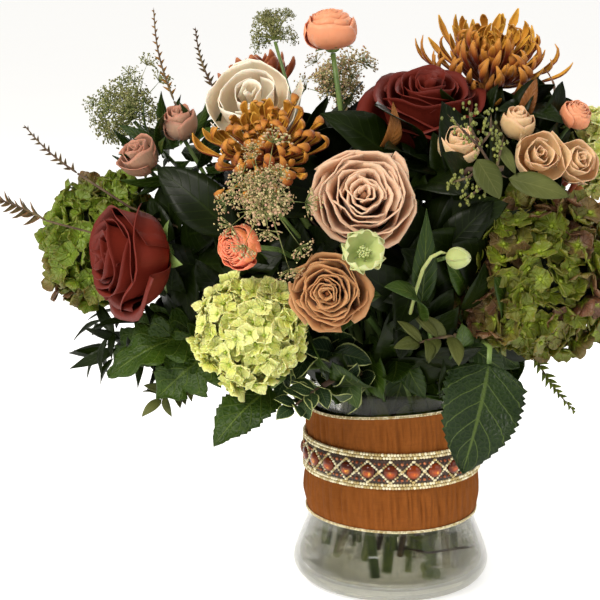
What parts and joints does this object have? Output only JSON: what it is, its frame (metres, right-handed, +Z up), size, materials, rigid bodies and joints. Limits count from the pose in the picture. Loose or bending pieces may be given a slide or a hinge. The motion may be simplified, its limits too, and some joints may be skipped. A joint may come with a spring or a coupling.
{
  "type": "floral centerpiece",
  "caption": "round autumn bouquet of roses, hydrangeas, spider mums and lace umbels in a flared clear glass vase wrapped with a rust ribbon and jewelled trim",
  "frame": {"origin": "centre of the vase's flat underside, on the table", "axes": "+Z up along the vase, -Y towards the bouquet's front, +X to the viewer's right"},
  "size_m": [0.4637, 0.3064, 0.4001],
  "materials": {
    "glass": "gloss",
    "ribbon": "matte",
    "trim_tape": "matte",
    "braid_gold": "satin",
    "petals_brick": "matte",
    "petals_dusty": "matte",
    "petals_caramel": "matte",
    "petals_cream": "matte",
    "petals_gold": "matte",
    "petals_copper": "matte",
    "florets_lime": "matte",
    "florets_antique": "matte",
    "petals_coral": "matte",
    "umbel_lace": "matte",
    "petals_apple": "matte",
    "petals_peach": "matte",
    "leaf_dark": "satin",
    "leaf_green": "satin",
    "leaf_frond": "satin",
    "leaf_sage": "satin",
    "leaf_copper": "satin"
  },
  "bodies": {
    "root": {"glass_vase": "glass", "ribbon_wrap": "ribbon", "trim_tape": "trim_tape", "braid_lower": "braid_gold", "braid_upper": "braid_gold", "rose_red_left": "petals_brick", "rose_red_top": "petals_brick", "rose_taupe": "petals_dusty", "rose_caramel": "petals_caramel", "rose_cream": "petals_cream", "mum_front": "petals_gold", "mum_top": "petals_gold", "mum_bronze": "petals_copper", "hydrangea_lime": "florets_lime", "hydrangea_antique": "florets_antique", "hydrangea_lime_right": "florets_lime", "hydrangea_left": "florets_antique", "ranunculus_top": "petals_coral", "ranunculus_left": "petals_coral", "ranunculus_right": "petals_coral", "ranunculus_edge": "petals_coral", "umbel_front": "umbel_lace", "umbel_upper": "umbel_lace", "umbel_top": "umbel_lace", "umbel_left": "umbel_lace", "hellebore_open": "petals_apple", "hellebore_bud": "petals_apple", "spray_rose_peach": "petals_peach", "spray_rose_bud": "petals_peach", "spray_rose_tan": "petals_peach", "spray_rose_edge": "petals_peach", "spray_rose_pink": "petals_dusty", "spray_rose_beige": "petals_dusty", "rose_red_back": "petals_brick", "rose_taupe_back": "petals_dusty", "rose_caramel_side": "petals_caramel", "hydrangea_green_back": "florets_antique", "hydrangea_lime_back": "florets_lime", "mum_back": "petals_gold", "leaf_glossy_left": "leaf_dark", "leaf_centre_tall": "leaf_green", "leaf_centre_dark": "leaf_dark", "leaf_centre_low": "leaf_green", "hydrangea_leaf_right": "leaf_dark", "hydrangea_leaf_left": "leaf_dark", "oak_leaf_left": "leaf_green", "frond_left_low": "leaf_frond", "frond_left_high": "leaf_frond", "frond_tall_left": "leaf_frond", "frond_tall_right": "leaf_frond", "fern_right": "leaf_green", "olive_leaf_right": "leaf_green", "eucalyptus_left": "leaf_sage", "eucalyptus_centre": "leaf_sage", "eucalyptus_seeded": "leaf_sage", "pittosporum_low": "leaf_green", "copper_leaf": "leaf_copper", "leaf_back_left": "leaf_dark", "leaf_back_low": "leaf_dark", "leaf_back_right": "leaf_green"}
  },
  "joints": []
}
